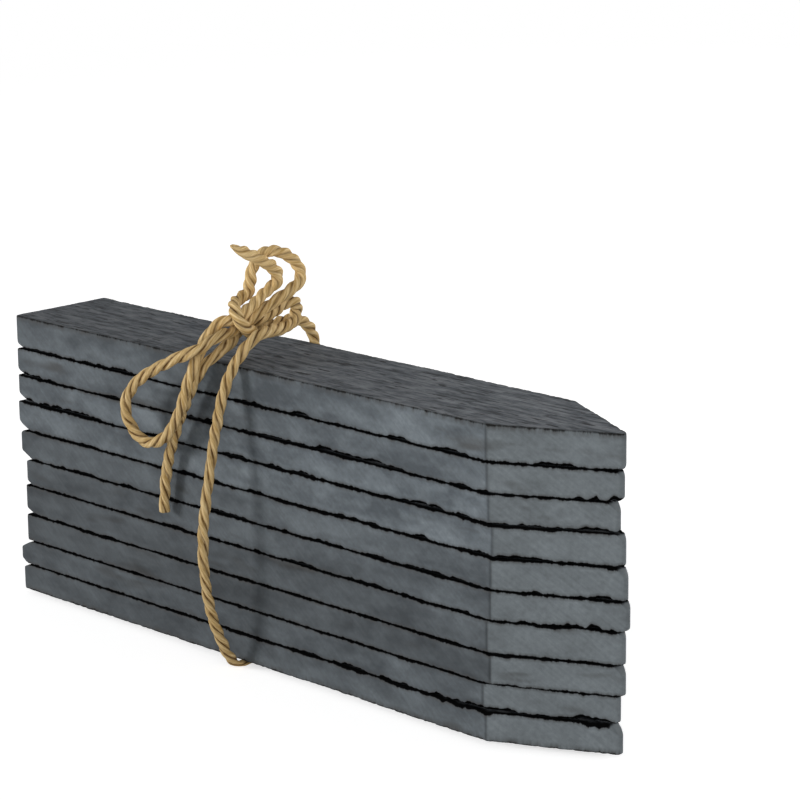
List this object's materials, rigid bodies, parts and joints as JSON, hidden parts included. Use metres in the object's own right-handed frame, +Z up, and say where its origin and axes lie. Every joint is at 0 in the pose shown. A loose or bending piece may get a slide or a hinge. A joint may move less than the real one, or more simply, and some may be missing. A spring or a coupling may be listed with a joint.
{
  "type": "bundle of slate plant label stakes",
  "caption": "Pointed slate plant label stakes stacked flat and held by one loop of twisted twine tied in a bow on top; each stake slides lengthwise out of the loop.",
  "frame": {"origin": "middle of the twine's pressed underside, where the tied bundle rests, under the middle of the stakes' width", "axes": "+X along the stakes towards their points, +Y from the bundle's front, where the long loop of the bow hangs, to its back, +Z up through the stack"},
  "size_m": [0.1487, 0.0352, 0.079],
  "materials": {
    "slate": "riven faces and sawn edges, matt blue-grey",
    "twine": "straw-coloured, three plies twisted, matt"
  },
  "bodies": {
    "twine_tie": {"twine_front_tail": "twine", "twine_half_knot": "twine", "twine_band": "twine", "twine_wrap": "twine", "twine_back_loop": "twine", "twine_front_loop": "twine", "twine_back_tail": "twine"},
    "stake_01": {"stake_01": "slate"},
    "stake_02": {"stake_02": "slate"},
    "stake_03": {"stake_03": "slate"},
    "stake_04": {"stake_04": "slate"},
    "stake_05": {"stake_05": "slate"},
    "stake_06": {"stake_06": "slate"},
    "stake_07": {"stake_07": "slate"},
    "stake_08": {"stake_08": "slate"},
    "stake_09": {"stake_09": "slate"},
    "stake_10": {"stake_10": "slate"}
  },
  "joints": [
    {"name": "stake_01_slide", "type": "slide", "parent": "twine_tie", "child": "stake_01", "axis": [1, 0, 0], "range_m": [-0.05, 0.05]},
    {"name": "stake_02_slide", "type": "slide", "parent": "twine_tie", "child": "stake_02", "axis": [1, 0, 0], "range_m": [-0.05, 0.05]},
    {"name": "stake_03_slide", "type": "slide", "parent": "twine_tie", "child": "stake_03", "axis": [1, 0, 0], "range_m": [-0.05, 0.05]},
    {"name": "stake_04_slide", "type": "slide", "parent": "twine_tie", "child": "stake_04", "axis": [1, 0, 0], "range_m": [-0.05, 0.05]},
    {"name": "stake_05_slide", "type": "slide", "parent": "twine_tie", "child": "stake_05", "axis": [1, 0, 0], "range_m": [-0.05, 0.05]},
    {"name": "stake_06_slide", "type": "slide", "parent": "twine_tie", "child": "stake_06", "axis": [1, 0, 0], "range_m": [-0.05, 0.05]},
    {"name": "stake_07_slide", "type": "slide", "parent": "twine_tie", "child": "stake_07", "axis": [1, 0, 0], "range_m": [-0.05, 0.05]},
    {"name": "stake_08_slide", "type": "slide", "parent": "twine_tie", "child": "stake_08", "axis": [1, 0, 0], "range_m": [-0.05, 0.05]},
    {"name": "stake_09_slide", "type": "slide", "parent": "twine_tie", "child": "stake_09", "axis": [1, 0, 0], "range_m": [-0.05, 0.05]},
    {"name": "stake_10_slide", "type": "slide", "parent": "twine_tie", "child": "stake_10", "axis": [1, 0, 0], "range_m": [-0.05, 0.05]}
  ]
}
